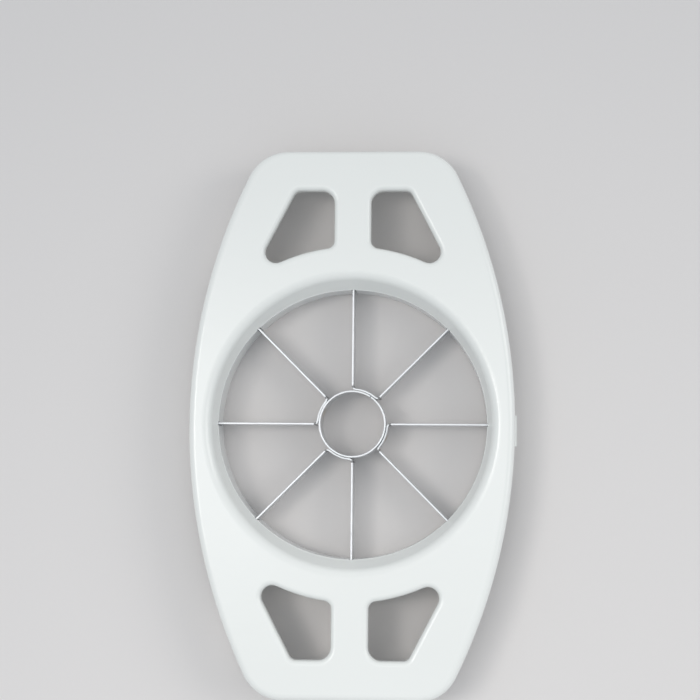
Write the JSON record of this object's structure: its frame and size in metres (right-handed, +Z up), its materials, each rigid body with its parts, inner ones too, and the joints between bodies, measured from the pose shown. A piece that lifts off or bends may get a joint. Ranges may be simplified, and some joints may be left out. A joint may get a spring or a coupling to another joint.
{
  "type": "apple slicer and corer",
  "caption": "Hand-held apple slicer and corer: a long plastic frame with finger openings holds radial steel blades that meet a round corer tube.",
  "frame": {"origin": "on the surface the slicer rests on, in the middle of its throat", "axes": "+Z up towards the hand and against the cut, +Y along the handles, +X across the waist"},
  "size_m": [0.1062, 0.178, 0.0204],
  "materials": {
    "frame_plastic": "white, glossy",
    "ring_plastic": "white, glossy",
    "tube_steel": "bright stainless",
    "blade_steel": "bright stainless"
  },
  "bodies": {
    "root": {"handle_frame": "frame_plastic", "blade_retaining_ring": "ring_plastic", "corer_tube": "tube_steel", "blade_pair_1": "blade_steel", "blade_pair_2": "blade_steel", "blade_pair_3": "blade_steel", "blade_pair_4": "blade_steel"}
  },
  "joints": []
}
